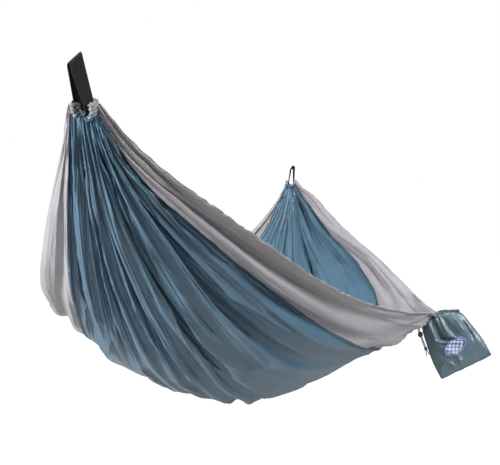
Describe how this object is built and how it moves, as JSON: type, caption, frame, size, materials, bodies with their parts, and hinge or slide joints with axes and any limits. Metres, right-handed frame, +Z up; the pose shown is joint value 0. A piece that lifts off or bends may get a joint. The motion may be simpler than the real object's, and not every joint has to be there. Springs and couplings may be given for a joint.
{
  "type": "camping hammock",
  "caption": "Gathered-end camping hammock of three sewn cloth panels, hung by a webbing loop at each end, with a drawstring stuff sack sewn to the middle of one hem.",
  "frame": {"origin": "centre of the near webbing loop's eye, where a hook or strap passes through", "axes": "+X from the near end towards the far end, +Z up as the hammock hangs, -Y towards the edge with the stuff sack"},
  "size_m": [2.2588, 1.2072, 0.7598],
  "materials": {
    "blue_cloth": "light nylon taffeta, slate blue, soft sheen",
    "grey_cloth": "light nylon taffeta, warm grey, soft sheen",
    "sack_cloth": "light nylon taffeta, slate green-blue",
    "webbing": "woven black polyester webbing, matte",
    "thread": "dark sewing thread",
    "cord": "braided round cord",
    "badge": "embroidered patch with a plain abstract pattern",
    "black_plastic": "moulded, fine matte",
    "spring_steel": "drawn wire"
  },
  "bodies": {
    "bed": {"centre_panel": "blue_cloth", "near_channel": "grey_cloth", "far_channel": "grey_cloth", "near_channel_stitching": "thread", "far_channel_stitching": "thread"},
    "right_edge": {"right_panel": "grey_cloth", "right_seam": "blue_cloth", "right_hem": "grey_cloth", "sack_hanger": "sack_cloth"},
    "left_edge": {"left_panel": "grey_cloth", "left_seam": "blue_cloth", "left_hem": "grey_cloth"},
    "near_suspension": {"near_loop": "webbing", "near_loop_bartack": "thread"},
    "far_suspension": {"far_loop": "webbing", "far_loop_bartack": "thread"},
    "sack": {"sack_front": "sack_cloth", "sack_back": "sack_cloth", "sack_side_seam": "thread", "sack_mouth_hem": "sack_cloth", "sack_drawcord": "cord", "sack_badge": "badge"},
    "lock": {"cord_lock_body": "black_plastic", "cord_lock_spring": "spring_steel"},
    "plunger": {"cord_lock_plunger": "black_plastic"}
  },
  "joints": [
    {"name": "right_edge_draw_in", "type": "hinge", "parent": "bed", "child": "right_edge", "pos_m": [1.115, 0, -0.06928], "axis": [1, 0, 0], "range_deg": [-8, 20]},
    {"name": "left_edge_draw_in", "type": "hinge", "parent": "bed", "child": "left_edge", "pos_m": [1.115, 0, -0.06928], "axis": [-1, 0, 0], "range_deg": [-8, 20]},
    {"name": "near_loop_swing", "type": "hinge", "parent": "bed", "child": "near_suspension", "pos_m": [0.04, 0, -0.06928], "axis": [0, 1, 0], "range_deg": [-35, 35]},
    {"name": "far_loop_swing", "type": "hinge", "parent": "bed", "child": "far_suspension", "pos_m": [2.19, 0, -0.06928], "axis": [0, -1, 0], "range_deg": [-35, 35]},
    {"name": "sack_swing", "type": "hinge", "parent": "right_edge", "child": "sack", "pos_m": [1.115, -0.58031, -0.5194], "axis": [-1, 0, 0], "range_deg": [-6, 38]},
    {"name": "cord_lock_slide", "type": "slide", "parent": "sack", "child": "lock", "axis": [0, -0.3486, -0.9373], "range_m": [-0.005, 0.029]},
    {"name": "cord_lock_press", "type": "slide", "parent": "lock", "child": "plunger", "axis": [1, 0, 0], "range_m": [0, 0.004], "stiffness_N_per_m": 20, "springref_m": -0.004, "deforming": ["cord_lock_spring"]}
  ]
}
